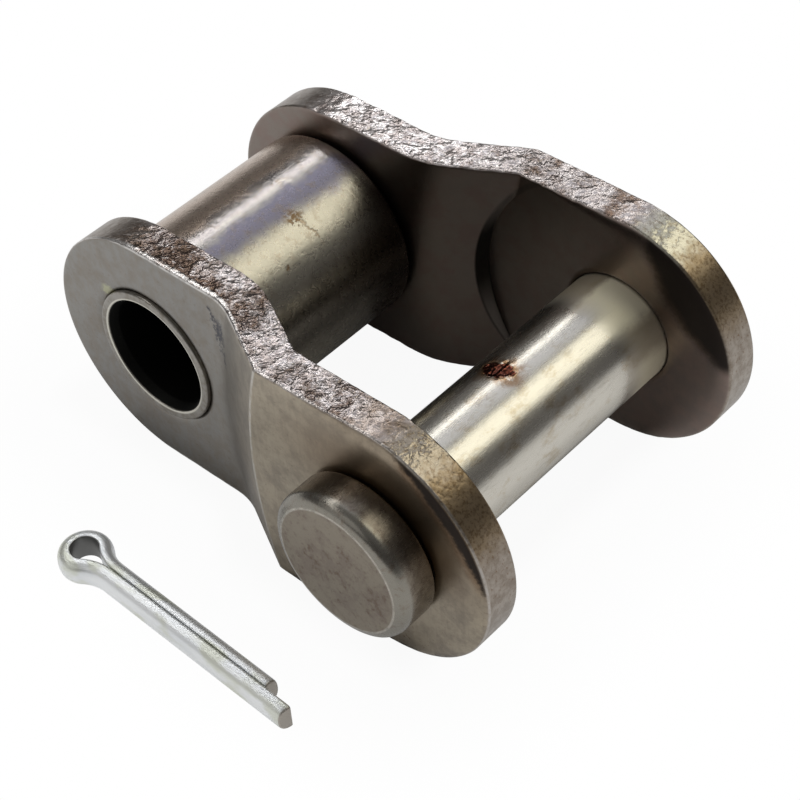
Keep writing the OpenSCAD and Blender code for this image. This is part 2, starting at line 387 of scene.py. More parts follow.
def plate_steel(name, shift, browning, scale_width, scale_fade, silver, greying, straw_tint, torn_depth,
                scored):
    """Satin blanked plate: grey at the narrow end and browner at the wide end, with a glossy torn edge."""
    material, f = new_finish(name)
    here = f.place()
    place = f.node("ShaderNodeVectorMath", {"operation": "ADD"}, {0: here, 1: shift})
    x, y, z = f.axes(here)
    edge = f.mark("edge")
    torn = f.mark("torn")
    inner = f.mark("inner")
    outer = 1 - inner
    struck = f.mark("struck")
    burr = f.mark("burr")

    clouds = f.grain(place, 0.12, 4)
    mottle = f.grain(place, 0.8, 5, 0.68)
    satin = f.grain(place, 7.0, 3, 0.6)
    fine = f.grain(place, 2.6, 4, 0.7)
    brushed = f.grain(place, 2.4, 3, 0.6, (1, 1, 0.1))
    across = x - PITCH
    radius = (across * across + z * z) ** 0.5
    bearing = f.turn(across, z)

    warm = f.ramp(x + 14 * (clouds - 0.5), 8, 24)
    face = f.blend(warm, NARROW_END_GREY, WIDE_END_STRAW)
    smudges = f.grain(place, 0.32, 5, 0.65)
    face = f.blend(f.ramp(smudges, 0.45, 0.66, 0, 0.5), face, SMUDGE_BROWN)
    face = f.blend(f.ramp(mottle, 0.42, 0.68, 0, 0.5), face, MOTTLE_BROWN)
    face = f.blend(f.ramp(brushed, 0.45, 0.7, 0, 0.3), face, BRUSHED_BROWN)
    face = f.blend(f.ramp(fine, 0.58, 0.72, 0, 0.6), face, SPECK_BROWN)
    # Inner faces and hole walls painted darker, as painted shade between the plates and in the holes, darker
    # still towards the wide end, with smudges
    inner_shade = f.blend(f.ramp(x, 30, 46), INNER_SHADE_LIGHT, INNER_SHADE_DARK)
    inner_shade = f.blend(f.ramp(smudges, 0.42, 0.62, 0, 0.7), inner_shade, INNER_SMUDGE)
    face = f.blend(inner * 0.92, face, inner_shade)
    # Painted shade on the wall of the round relief: darkest in its middle, and darker at its low end than at
    # its high end
    step = f.size(radius - RELIEF_R)
    relief_wall_shade_ends = f.blend(f.ramp(z, -8, 8), WALL_SHADE_LOW_END, WALL_SHADE_HIGH_END)
    relief_wall_shade = f.blend(f.ramp(f.size(z - 1.5), 9, 3), relief_wall_shade_ends, WALL_SHADE)
    face = f.blend(inner * f.ramp(step, 0.5, 0.2), face, relief_wall_shade)

    bend = RIDGE_AXIS_X - x
    ridge = f.size((bend * bend + z * z) ** 0.5 - RIDGE_R)
    # Painted highlight along the outer face's convex bend ridge, broken up by the mottle
    ridge_highlight = f.ramp(ridge, 0.3, 0.08) * f.ramp(mottle, 0.3, 0.6, 0, 0.8)
    face = f.blend(outer * ridge_highlight, face, RIDGE_HIGHLIGHT)

    if scored:
        # Painted shadow of the pin's head on the near plate's outer face, round the head's upper side
        head_shadow = f.ramp(radius, 19, 9.5) * f.ramp(bearing, -25, 25) * f.ramp(bearing, 178, 110)
        face = f.blend(outer * head_shadow * 0.85, face, HEAD_SHADOW_BROWN)
    at_foot = f.ramp(z, -9, -13) * f.ramp(x, PITCH - 5, PITCH - 2)
    foot_rim = f.ramp(radius, PLATE_R - 1.1, PLATE_R - 0.3) * at_foot
    face = f.blend(outer * foot_rim * f.ramp(mottle, 0.42, 0.56), face, FOOT_RIM_DARK)
    low_rim = f.ramp(z, -14.3, -15.1) * f.ramp(x, 23, 26) * f.ramp(x, PITCH, PITCH - 3)
    face = f.blend(outer * low_rim * 0.85, face, LOW_RIM_DARK)
    lens = f.ramp(bearing, -2, 34) * f.ramp(bearing, 86, 48)
    inside = radius - PLATE_R + scale_width * lens + 1.1 * (mottle - 0.5) + 0.7 * (fine - 0.5)
    scale = struck * f.ramp(inside, -scale_fade, 0.45, 0, 0.94) * f.ramp(lens, 0.02, 0.25)
    rust = struck * f.ramp(inside, -1.7, 0.1) * f.ramp(lens, 0.02, 0.5)
    face = f.blend(rust * 0.75, face, RUST_BROWN)
    face = f.blend(scale, face, SCALE_BLACK)
    freckles = outer * f.ramp(fine, 0.57, 0.66) * f.ramp(z, -8, -13) * f.ramp(x, PITCH - 12, PITCH - 4)
    face = f.blend(freckles * 0.75, face, FRECKLE_RUST)

    if scored:
        ragged = 2.2 * (mottle - 0.5) + 1.8 * (fine - 0.5)
        score = None
        for start, end, width in FACE_SCORES:
            line = f.stroke(x + ragged, z + ragged, start, end, width)
            score = line if score is None else f.most(score, line)
        score = score * outer * f.ramp(0.5 * mottle + fine, 0.68, 0.8)
        face = f.blend(score, face, SCORE_BLACK)
        dab = f.stroke(x + ragged, z + ragged, STAKE_DAB, (STAKE_DAB[0] + 0.5, STAKE_DAB[1]), 1.1)
        face = f.blend(dab * outer * 0.8, face, DAB_OLIVE)

    stain = f.grain(place, 0.22, 5, 0.7)
    lumps = f.grain(place, 1.3, 1.5, 0.5)
    drift = f.grain(place, 0.6, 2)
    warped = f.node("ShaderNodeVectorMath", {"operation": "ADD"}, {0: place, 1: 1.6 * drift})
    flakes = f.scales(warped, 1.35, (0.75, 1.1, 1.1), 0.3)
    chips = f.scales(warped, 2.9, (0.8, 1, 1), 0.3)
    hollow = f.ramp(flakes + 0.4 * chips, 0.3, 0.58)
    broken = f.blend(f.ramp(mottle, 0.35, 0.65), silver, TORN_WARM)
    near_rim = f.ramp(y, -BUSH_INNER - 1.5, -BUSH_OUTER + 1)
    glaze = f.ramp(x, 24, 3) + near_rim * f.ramp(x, 3, 7) * f.ramp(x, 18, 13)
    brown = f.ramp(stain + browning * glaze + 0.25 * (mottle - 0.5), 0.44, 0.68)
    broken = f.blend(f.ramp(x, 14, 24, 0, greying), broken, TORN_GREY)
    broken = f.blend(brown * (0.3 + 0.6 * hollow), broken, TORN_BROWN)
    straw = f.ramp(x + 3 * (mottle - 0.5), PITCH + 0.5, PITCH + 3.5)
    broken = f.blend(straw * 0.8, broken, straw_tint)
    broken = f.blend(straw * f.ramp(fine, 0.5, 0.64, 0, 0.6), broken, STRAW_SPECK)
    if scored:
        patch = f.ramp(f.size(x + 3 * (stain - 0.5) - PITCH), 4.5, 1.5)
        broken = f.blend(patch * 0.5, broken, PATCH_BROWN)
    rubbed = f.blend(f.ramp(mottle, 0.35, 0.65), RUBBED_LIGHT, RUBBED_DARK)
    rubbed = f.blend(f.ramp(fine, 0.57, 0.68, 0, 0.8), rubbed, RUST_BROWN)
    side = f.blend(torn, rubbed, broken)
    tarnish = f.ramp(x + 5 * (mottle - 0.5), PITCH + 6.5, PITCH + 9) * f.ramp(z, 4.5, 8.5)
    tarnished = f.blend(f.ramp(fine, 0.45, 0.6), TARNISH_LIGHT, TARNISH_DARK)
    side = f.blend(tarnish * 0.8, side, tarnished)
    colour = f.blend(edge, face, side)
    # Painted highlight along the near plate's outer rim, where the burr is
    colour = f.blend(burr * f.ramp(mottle, 0.3, 0.55), colour, BURR_HIGHLIGHT)

    face_rough = 0.25 + 0.14 * mottle + 0.25 * scale
    side_rough = f.mix(torn, 0.34, 0.19 + 0.14 * mottle)
    roughness = f.mix(edge, face_rough, side_rough)

    soft = f.bump(satin * 0.4 + brushed * 0.5 + mottle * 0.6, 0.02, 0.5)
    calm = f.ramp(stain, 0.4, 0.62, 0.45, 1) * f.ramp(x, PITCH + 1, PITCH - 8, 0.35, 1)
    pebbles = 0.5 * lumps - 1.7 * flakes * flakes - 0.8 * chips * chips
    height = torn * edge * (1 - 0.8 * burr) * calm * pebbles
    f.metal(colour, roughness, f.bump(height, torn_depth, 1.0, soft))
    return material


# Colours of the roller
ROLLER_STRAW_REFLECTION = (0.4, 0.376, 0.322, 1)
ROLLER_VIOLET_REFLECTION = (0.235, 0.22, 0.262, 1)
ROLLER_GREY_REFLECTION = (0.35, 0.325, 0.315, 1)
ROLLER_BROWN_REFLECTION = (0.5, 0.4, 0.325, 1)
ROLLER_LOW_SIDE_SHADE = (0.2, 0.18, 0.15, 1)
ROLLER_SHADE = (0.08, 0.07, 0.055, 1)
ROLLER_SPECK = (0.2, 0.17, 0.13, 1)
ROLLER_BLOT = (0.25, 0.2, 0.15, 1)
ROLLER_FAR_END_SHADE = (0.06, 0.05, 0.04, 1)
ROLLER_RUST = (0.14, 0.08, 0.032, 1)


def roller_steel():
    """Hardened roller with painted reflection bands in straw, violet, grey and brown, painted shade on its
    low side and towards its far end, and a few scratches.
    """
    material, f = new_finish("roller_steel")
    place = f.place()
    x, y, z = f.axes(place)
    clouds = f.grain(place, 0.16, 4, 0.6)
    peel = f.grain(place, 1.4, 3, 0.55)
    fine = f.grain(place, 6.0, 3, 0.6)
    bearing = f.turn(x, z) + 26 * (clouds - 0.5)
    # Painted reflection bands by the angle round the roller: straw, violet, grey and brown
    violet_reflection = f.ramp(bearing, 60, 72) * f.ramp(bearing, 84, 77)
    brown = f.ramp(bearing, 90, 100)
    colour = f.blend(violet_reflection, ROLLER_STRAW_REFLECTION, ROLLER_VIOLET_REFLECTION)
    colour = f.blend(f.ramp(bearing, 78, 86), colour, ROLLER_GREY_REFLECTION)
    colour = f.blend(brown, colour, ROLLER_BROWN_REFLECTION)
    # Painted shade on the roller's lower side, and on the next line a deeper band of it over a narrow range
    # of angles
    colour = f.blend(f.ramp(bearing, 34, 18, 0, 0.6), colour, ROLLER_LOW_SIDE_SHADE)
    shaded = f.ramp(bearing, 33, 24) * f.ramp(bearing, -8, 4)
    colour = f.blend(shaded * 0.6, colour, ROLLER_SHADE)
    colour = f.blend(f.ramp(bearing, 25, 50) * f.ramp(fine, 0.55, 0.7, 0, 0.35), colour, ROLLER_SPECK)
    blots = f.grain(place, 0.75, 6, 0.75)
    colour = f.blend(f.ramp(bearing, 20, 50) * f.ramp(blots, 0.5, 0.66, 0, 0.45), colour, ROLLER_BLOT)
    # Painted shade towards the roller's far end, next to the far plate, on its lower side
    far_end_shade = f.ramp(y + 5 * (clouds - 0.5), 2, 11, 0, 0.92) * f.ramp(bearing, 66, 42)
    colour = f.blend(far_end_shade, colour, ROLLER_FAR_END_SHADE)
    across = y + 1.6 * (peel - 0.5)
    around = f.turn(x, z) * (ROLLER_R * math.radians(1)) + 1.6 * (fine - 0.5) + 1.2 * (peel - 0.5)
    spot = (across - SCUFF_Y) * (across - SCUFF_Y) + (around - SCUFF_ARC) * (around - SCUFF_ARC)
    scuff = f.ramp(spot, SCUFF_R ** 2, 0.2) * f.ramp(peel + 0.4 * fine, 0.62, 0.78)
    line = f.stroke(across, around, (SCUFF_Y, SCUFF_ARC - 0.6), (SCUFF_Y + 0.9, SCUFF_ARC - 3.4), 0.3)
    speck = f.stroke(across, around, (-4.1, 9.3), (-3.8, 9.4), 0.28)
    marks = f.most(f.most(scuff, line * 0.6), speck)
    colour = f.blend(marks * 0.9, colour, ROLLER_RUST)
    height = 0.2 * fine + peel + 0.6 * blots - 0.8 * marks
    gloss = f.ramp(bearing, 74, 82) * f.ramp(bearing, 98, 90)
    f.metal(colour, 0.23 - 0.09 * gloss + 0.1 * peel, f.bump(height, 0.045, 0.6))
    return material


# Colours of the pin
SHANK_BRIGHT = (0.55, 0.525, 0.47, 1)
SHANK_SCUFF = (0.43, 0.375, 0.29, 1)
SHANK_LINE = (0.36, 0.33, 0.28, 1)
FILM_STRAW = (0.42, 0.36, 0.26, 1)
FILM_STREAK_HIGHLIGHT = (0.96, 0.91, 0.7, 1)
PIT_STAIN = (0.24, 0.125, 0.045, 1)
PIT_DARK = (0.04, 0.012, 0.008, 1)
PIT_RED = (0.2, 0.06, 0.035, 1)
HEAD_SIDE_LIGHT = (0.235, 0.205, 0.168, 1)
HEAD_SIDE_DARK = (0.16, 0.134, 0.11, 1)
RIM_GREY = (0.235, 0.22, 0.19, 1)
RIM_BROWN = (0.17, 0.135, 0.105, 1)
HEAD_LIGHT = (0.255, 0.222, 0.175, 1)
HEAD_DULL = (0.215, 0.178, 0.145, 1)
HEAD_SPECK = (0.14, 0.1, 0.07, 1)
HEAD_STAIN = (0.13, 0.08, 0.055, 1)
BRINK_HIGHLIGHT = (0.45, 0.42, 0.37, 1)


def pin_steel():
    """Ground pin with lengthwise lines, a rust pit on its shank, painted highlight streaks on a straw film
    near its end, and a dull head.
    """
    material, f = new_finish("pin_steel")
    place = f.place()
    x, y, z = f.axes(place)
    lines = f.grain(place, 2.2, 4, 0.65, (1, 0.18, 1))
    scuffs = f.grain(place, 0.45, 5, 0.7, (1, 0.6, 1))
    mottle = f.grain(place, 1.1, 5, 0.68)
    colour = f.blend(f.ramp(scuffs, 0.5, 0.7), SHANK_BRIGHT, SHANK_SCUFF)
    colour = f.blend(f.ramp(lines, 0.55, 0.75, 0, 0.5), colour, SHANK_LINE)
    pitted = f.mark("pitted")
    around = f.mark("stained")
    worn_end = f.ramp(y, PIN_INNER - 7.5, PIN_INNER - 3) * f.ramp(y, PIN_INNER + 0.6, PIN_INNER - 0.2)
    across = x - PITCH
    bearing = f.turn(across, z) + 16 * (scuffs - 0.5)
    # Painted highlight streaks near the shank's end, by the angle round the pin, on a straw film
    streak_highlight = f.ramp(bearing, 42, 56) * f.ramp(bearing, 106, 94)
    streak_highlight = f.most(streak_highlight, f.ramp(bearing, 22, 6, 0, 0.55))
    film_and_highlight = f.blend(streak_highlight, FILM_STRAW, FILM_STREAK_HIGHLIGHT)
    colour = f.blend(worn_end * 0.85, colour, film_and_highlight)
    colour = f.blend(around * f.ramp(mottle, 0.32, 0.52), colour, PIT_STAIN)
    clots = f.grain(place, 2.6, 2, 0.5)
    clotted = f.blend(f.ramp(clots, 0.4, 0.65), PIT_DARK, PIT_RED)
    pitted = f.ramp(pitted, 0.2, 0.6)
    colour = f.blend(pitted, colour, clotted)

    head = f.ramp(y, -PIN_OUTER, -PIN_OUTER - 0.3)
    radius = (across * across + z * z) ** 0.5
    front = f.ramp(y, -HEAD_FACE + 0.3, -HEAD_FACE + 0.05)
    flat = front * f.ramp(radius, HEAD_R - HEAD_RIM, HEAD_R - HEAD_RIM - 0.2)
    bevel = f.ramp(y, -HEAD_FACE + 2.0, -HEAD_FACE + 1.2) * (1 - flat)
    headed = f.blend(f.ramp(mottle, 0.4, 0.65), HEAD_SIDE_LIGHT, HEAD_SIDE_DARK)
    polished = f.blend(f.ramp(mottle, 0.5, 0.75), RIM_GREY, RIM_BROWN)
    headed = f.blend(bevel, headed, polished)
    # Painted highlight on the brink between the head's flat face and its rounded rim, broken up by the mottle
    brink_highlight = f.ramp(f.size(radius - HEAD_R + HEAD_RIM), 0.2, 0.06) * f.ramp(mottle, 0.3, 0.6, 0.1, 0.8)
    dull = f.blend(f.ramp(scuffs, 0.4, 0.62), HEAD_LIGHT, HEAD_DULL)
    specks = f.grain(place, 3.6, 3, 0.7)
    dull = f.blend(f.ramp(specks, 0.55, 0.7, 0, 0.5), dull, HEAD_SPECK)
    dull = f.blend(f.ramp(mottle, 0.48, 0.68) * f.ramp(scuffs, 0.43, 0.58, 0, 0.8), dull, HEAD_STAIN)
    headed = f.blend(flat, headed, dull)
    headed = f.blend(brink_highlight, headed, BRINK_HIGHLIGHT)
    colour = f.blend(head, colour, headed)

    shank_rough = f.mix(pitted, 0.2 + 0.13 * lines + 0.3 * worn_end, 0.12)
    roughness = f.mix(head * f.ramp(flat + 0.2 * bevel, 0.1, 0.9), shank_rough, 0.32 + 0.12 * mottle)
    height = f.mix(head, 0.5 * lines + 0.5 * scuffs + 5 * pitted * clots, mottle)
    f.metal(colour, roughness, f.bump(height, 0.03, 0.6), 1 - 0.3 * worn_end)
    return material


# Colours of the bush
RING_LIGHT = (0.29, 0.275, 0.25, 1)
RING_DULL = (0.22, 0.2, 0.17, 1)
BORE_SHADE = (0.014, 0.014, 0.013, 1)
BORE_LIP_HIGHLIGHT = (0.62, 0.6, 0.53, 1)


def bush_steel():
    """Turned bush: a satin end ring with a painted highlight round its mouth, and its bore painted dark as
    shade.
    """
    material, f = new_finish("bush_steel")
    place = f.place()
    x, _, z = f.axes(place)
    lines = f.grain(place, 1.2, 4, 0.65)
    radius = (x * x + z * z) ** 0.5
    ring = f.blend(f.ramp(lines, 0.4, 0.65), RING_LIGHT, RING_DULL)
    # Painted shade down the bore and its lead-in
    bore = f.ramp(radius, BORE_R + 0.48, BORE_R + 0.4)
    colour = f.blend(bore, ring, BORE_SHADE)
    # Painted highlight on the lip where the lead-in meets the end ring
    lip_highlight = f.ramp(radius, BORE_R + 0.44, BORE_R + 0.54) * f.ramp(radius, BORE_R + 0.8, BORE_R + 0.65)
    colour = f.blend(lip_highlight, colour, BORE_LIP_HIGHLIGHT)
    f.metal(colour, f.mix(bore, 0.28 + 0.14 * lines, 0.6), f.bump(lines, 0.02, 0.5))
    return material


# Colours of the split pin
ZINC_BRIGHT = (0.95, 0.97, 0.98, 1)
ZINC_BLUE = (0.88, 0.905, 0.925, 1)
ZINC_YELLOW = (0.74, 0.76, 0.65, 1)
EYE_SHADE = (0.2, 0.2, 0.195, 1)
CUT_BROWN = (0.45, 0.415, 0.37, 1)


def split_pin_zinc():
    """Bright zinc on drawn wire, with painted shade inside the eye, and browner at the cut ends."""
    material, f = new_finish("split_pin_zinc")
    place = f.place()
    drawn = f.grain(place, 0.9, 1, 0.5, (0.12, 1, 1))
    scuffs = f.grain(place, 0.5, 2, 0.5, (0.4, 1, 1))
    colour = f.blend(f.ramp(drawn, 0.4, 0.65), ZINC_BRIGHT, ZINC_BLUE)
    colour = f.blend(f.ramp(scuffs, 0.46, 0.64, 0, 0.8), colour, ZINC_YELLOW)
    # Painted shade on the inner wall of the eye
    colour = f.blend(f.mark("inside"), colour, EYE_SHADE)
    colour = f.blend(f.mark("cut"), colour, CUT_BROWN)
    f.metal(colour, 0.34 + 0.06 * scuffs, metallic=0.6)
    return material


# Plates

def sheet_height(distance, shift, rise, bend):
    """How far one face of the bent sheet lies from the link's middle, at a distance from the ridge's axis."""
    high = PIN_OUTER - rise
    low = BUSH_OUTER - rise
    sloped = np.clip(high - (distance - RIDGE_R + shift) * math.tan(CRANK), low, high)
    inside = (distance > BEND_CENTRE - bend * math.sin(CRANK)) & (distance < BEND_CENTRE)
    arc = low + bend - np.sqrt(np.maximum(bend ** 2 - (BEND_CENTRE - distance) ** 2, 0))
    return np.where(inside, arc, sloped)


def rolled(distance, width, depth):
    """How far a face drops towards a rolled rim, at a distance from that rim."""
    share = np.clip(1 - distance / width, 0, 1)
    return depth * (1 - np.sqrt(1 - share ** 2))


def rim_distance(x, z):
    """How far inside a plate's outline a point is."""
    return PLATE_R - np.hypot(x - np.clip(x, 0, PITCH), z)


def rim_roll(x, z, struck):
    """Drop of a face at its rim. The struck face is rolled most round the wide end."""
    distance = np.maximum(rim_distance(x, z), 0)
    if not struck:
        return rolled(distance, 0.25, 0.12)
    wide = smooth_step(PITCH - 10, PITCH + 2, x)
    return rolled(distance, 0.45 + 1.5 * wide, 0.25 + 0.3 * wide)


def hole_roll(x, z, struck):
    """Drop of a face at the rims of its two holes."""
    width, depth = (1.0, 0.45) if struck else (0.3, 0.12)
    bush_drop = rolled(np.maximum(np.hypot(x, z) - BUSH_HOLE_R, 0), width, depth)
    return bush_drop + rolled(np.maximum(np.hypot(x - PITCH, z) - PIN_HOLE_R, 0), width, depth)


def outer_height(x, z, struck):
    """Height of a plate's outer face."""
    height = sheet_height(np.hypot(RIDGE_AXIS_X - x, z), 0, 0, BEND_R) - rim_roll(x, z, struck)
    return height - hole_roll(x, z, struck)


def inner_height(x, z, struck):
    """Height of a plate's inner face, with the round relief for the next link."""
    height = sheet_height(np.hypot(RIDGE_AXIS_X - x, z), FACE_SHIFT, PLATE_T, BEND_R + PLATE_T)
    relieved = np.hypot(x - PITCH, z) < RELIEF_R
    height = np.where(relieved, np.maximum(height, PIN_INNER), height)
    return height + rim_roll(x, z, struck) + hole_roll(x, z, struck)


def outline():
    """Stations round a plate's outline and the way outwards at each, as points of the link's plane."""
    run = np.arange(0, PITCH, EDGE_STEP)
    turn = np.arange(0, math.pi, EDGE_STEP / PLATE_R)
    flat = np.zeros_like(run)
    wide = np.stack([np.sin(turn), np.cos(turn)], 1)
    top = np.stack([run, flat + PLATE_R], 1)
    bottom = np.stack([PITCH - run, flat - PLATE_R], 1)
    stations = np.concatenate([top, wide * PLATE_R + (PITCH, 0), bottom, -wide * PLATE_R])
    up = np.stack([flat, flat + 1], 1)
    return stations, np.concatenate([up, wide, -up, -wide])


def circle(centre_x, radius, count):
    """Points round a circle about the bush's or the pin's axis."""
    angle = np.linspace(0, 2 * math.pi, count, endpoint=False)
    return np.stack([centre_x + radius * np.cos(angle), radius * np.sin(angle)], 1)


def torn_share(x):
    """How far the sheared edge is torn: fully along the link, little round its ends."""
    return 0.08 + 0.92 * smooth_step(-6, 0, x) * (1 - smooth_step(PITCH + 5, PITCH + 11, x))


def torn_relief(points, seed):
    """How far each point of an edge stands out, by the grain that tore there."""
    relief = np.empty(len(points))
    for i, point in enumerate(points):
        spot = Vector(point) + Vector((seed, 0, 0))
        lumps = noise.noise(spot * 0.45)
        grain = noise.noise(spot * 1.2)
        cells = noise.voronoi(Vector((spot.x * 0.8, spot.y, spot.z)) * 0.9)[0]
        relief[i] = 0.09 * lumps + 0.05 * grain + 0.14 * (0.45 - cells[0])
    calmer = 1 - 0.5 * smooth_step(PITCH - 8, PITCH, points[:, 0])
    return relief * torn_share(points[:, 0]) * calmer


def burr_and_highlight_share(x, distance, side):
    """How strongly the burr shows on the near plate's outer rim, at a distance from it: it calms the tear and
    sets the painted highlight.
    """
    if side > 0:
        return np.zeros_like(x)
    width = 0.14 + 0.34 * smooth_step(-6, 0, x) * (1 - smooth_step(12, 20, x))
    return smooth_step(width, width * 0.5, distance) * (1 - 0.6 * smooth_step(14, 26, x))


def closed_loop(start, count):
    """Edges round a loop of points."""
    return [(start + i, start + (i + 1) % count) for i in range(count)]


def face_layout(stations, outward):
    """Points of a plate's face and the triangles between them, in the link's plane."""
    groups = [stations - outward * step for step in RIM_STEPS]
    bush_start = sum(map(len, groups))
    groups += [circle(0, BUSH_HOLE_R + step, HOLE_POINTS) for step in HOLE_STEPS]
    pin_start = sum(map(len, groups))
    groups += [circle(PITCH, PIN_HOLE_R + step, HOLE_POINTS) for step in HOLE_STEPS]
    relief = np.concatenate([circle(PITCH, RELIEF_R + step, RELIEF_POINTS) for step in RELIEF_STEPS])
    groups.append(relief)

    creases = [RIDGE_R + step for step in RIDGE_STEPS]
    rows = np.arange(RIDGE_AXIS_X - PITCH - PLATE_R, RIDGE_AXIS_X + PLATE_R, FACE_STEP)
    rows = [row for row in rows if min(abs(row - crease) for crease in creases) > RIDGE_GAP]
    for row in [*rows, *creases]:
        half = math.asin(min(PLATE_R / row, 1))
        angle = np.arange(-half, half, FACE_STEP / row)
        groups.append(np.stack([RIDGE_AXIS_X - row * np.cos(angle), row * np.sin(angle)], 1))

    fixed = pin_start + len(HOLE_STEPS) * HOLE_POINTS
    flat = np.concatenate(groups)
    inside = rim_distance(flat[:, 0], flat[:, 1]) > RIM_STEPS[-1] + RIM_GAP
    inside &= np.hypot(flat[:, 0], flat[:, 1]) > BUSH_HOLE_R + HOLE_STEPS[-1] + RIM_GAP
    inside &= np.hypot(flat[:, 0] - PITCH, flat[:, 1]) > PIN_HOLE_R + HOLE_STEPS[-1] + RIM_GAP
    step = np.abs(np.hypot(flat[:, 0] - PITCH, flat[:, 1]) - RELIEF_R)
    inside &= (step > RELIEF_GAP) | (np.arange(len(flat)) < fixed + len(relief))
    inside[:fixed] = True
    flat = flat[inside]
    loops = closed_loop(0, len(stations))
    loops += closed_loop(bush_start, HOLE_POINTS) + closed_loop(pin_start, HOLE_POINTS)
    found = delaunay_2d_cdt([Vector(point) for point in flat], loops, [], 0, 1e-5)
    spots = np.array([tuple(point) for point in found[0]])
    triangles = np.array(found[2])
    middle = spots[triangles].mean(1)
    kept = rim_distance(middle[:, 0], middle[:, 1]) > 0
    kept &= np.hypot(middle[:, 0], middle[:, 1]) > BUSH_HOLE_R * 0.999
    kept &= np.hypot(middle[:, 0] - PITCH, middle[:, 1]) > PIN_HOLE_R * 0.999
    return spots, triangles[kept]


def strip(first, count, rows):
    """Quads of a closed band of rows, each with a count of points, from the number of the first point."""
    faces = []
    for row in range(rows - 1):
        for i in range(count):
            a = first + row * count + i
            b = first + row * count + (i + 1) % count
            faces.append((a, b, b + count, a + count))
    return faces


def cranked_plate(name, node, side, seed, finish):
    """A plate of the link on one side (-1 or 1) of its middle, with its torn edge and rolled rims."""
    stations, outward = outline()
    spots, triangles = face_layout(stations, outward)
    groups = []
    faces = []
    marks = {"edge": [], "inner": [], "struck": [], "burr": []}

    def add(points, **values):
        """Adds points with their marks and returns the number of the first."""
        start = sum(map(len, groups))
        groups.append(points)
        for mark, painted in marks.items():
            painted.append(np.broadcast_to(values.get(mark, 0.0), len(points)))
        return start

    def add_face(height, is_struck, inner):
        """Adds a face of the sheet, whose rim follows the torn edge."""
        x, z = spots.T
        inside = rim_distance(x, z)
        near = inside < TEAR_REACH
        spine = np.clip(x, 0, PITCH)
        away = np.stack([x - spine, z], 1) / np.maximum(np.hypot(x - spine, z), 1e-9)[:, None]
        rim_x = spine + away[:, 0] * PLATE_R
        rim_z = away[:, 1] * PLATE_R
        rim = np.stack([rim_x, side * height(rim_x, rim_z, is_struck), rim_z], 1)
        moved = spots.copy()
        fade = 1 - inside[near] / TEAR_REACH
        fade = fade if inner else fade * (1 - BURR_HOLD * burr_and_highlight_share(rim_x, 0 * rim_x, side)[near])
        moved[near] += away[near] * (torn_relief(rim[near], seed) * fade)[:, None]
        points = np.stack([moved[:, 0], side * height(x, z, is_struck), moved[:, 1]], 1)
        burr = 0.0 if inner else burr_and_highlight_share(x, inside, side)
        edge = smooth_step(0.3, 0.0, inside)
        start = add(points, edge=edge, inner=float(inner), struck=float(is_struck), burr=burr)
        faces.extend((triangles + start).tolist())

    struck = side < 0
    add_face(outer_height, struck, False)
    add_face(inner_height, not struck, True)

    rows = int(PLATE_T / EDGE_STEP)
    top = outer_height(stations[:, 0], stations[:, 1], struck)
    foot = inner_height(stations[:, 0], stations[:, 1], not struck)
    start = sum(map(len, groups))
    for share in np.linspace(0, 1, rows):
        height = top + (foot - top) * share
        points = np.stack([stations[:, 0], side * height, stations[:, 1]], 1)
        burr = burr_and_highlight_share(stations[:, 0], share * (top - foot), side)
        relief = torn_relief(points, seed) * (1 - BURR_HOLD * burr)
        points[:, ::2] += outward * relief[:, None]
        add(points, edge=1.0, burr=burr)
    faces.extend(strip(start, len(stations), rows))

    for centre_x, radius in ((0, BUSH_HOLE_R), (PITCH, PIN_HOLE_R)):
        ring = circle(centre_x, radius, HOLE_POINTS)
        start = sum(map(len, groups))
        top = outer_height(ring[:, 0], ring[:, 1], struck)
        foot = inner_height(ring[:, 0], ring[:, 1], not struck)
        for share in HOLE_ROWS:
            add(np.stack([ring[:, 0], side * (top + (foot - top) * share), ring[:, 1]], 1), inner=1.0)
        faces.extend(strip(start, len(ring), len(HOLE_ROWS)))

    points = np.concatenate(groups)
    first, merged = np.unique(np.round(points, 3), axis=0, return_index=True, return_inverse=True)[1:]
    merged = merged.reshape(-1)
    joined = [tuple(dict.fromkeys(merged[list(face)].tolist())) for face in faces]
    joined = [face for face in joined if len(face) > 2]
    painted = {mark: np.concatenate(values)[first] for mark, values in marks.items()}
    painted["torn"] = torn_share(points[first][:, 0])
    piece = new_piece(name, points[first], joined, "link", finish, painted)
    face_outwards(piece)
    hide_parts(node)
    return piece


def face_outwards(piece):
    """Turns every face of a closed mesh outwards."""
    shape = bmesh.new()
    shape.from_mesh(piece.data)
    bmesh.ops.recalc_face_normals(shape, faces=shape.faces)
    shape.to_mesh(piece.data)
    shape.free()


# Turned pieces

def eased(corners, steps=6):
    """A profile of (radius, y, rounding) corners, with each corner rounded."""
    points = []
    count = len(corners)
    for i, (radius, y, rounding) in enumerate(corners):
        corner = np.array((radius, y))
        if rounding == 0:
            points.append(corner)
            continue
        before = np.array(corners[i - 1][:2]) - corner
        after = np.array(corners[(i + 1) % count][:2]) - corner
        before = before / np.linalg.norm(before) * rounding
        after = after / np.linalg.norm(after) * rounding
        for share in np.linspace(0, 1, steps):
            points.append(corner + before * (1 - share) ** 2 + after * share ** 2)
    return points


def spaced(points, closed, step):
    """A profile with points added where they lie further apart than a step."""
    out = []
    ends = points[1:] + (points[:1] if closed else [])
    for start, end in zip(points, ends):
        cuts = max(1, math.ceil(np.linalg.norm(end - start) / step))
        out += [start + (end - start) * k / cuts for k in range(cuts)]
    return out if closed else out + [points[-1]]


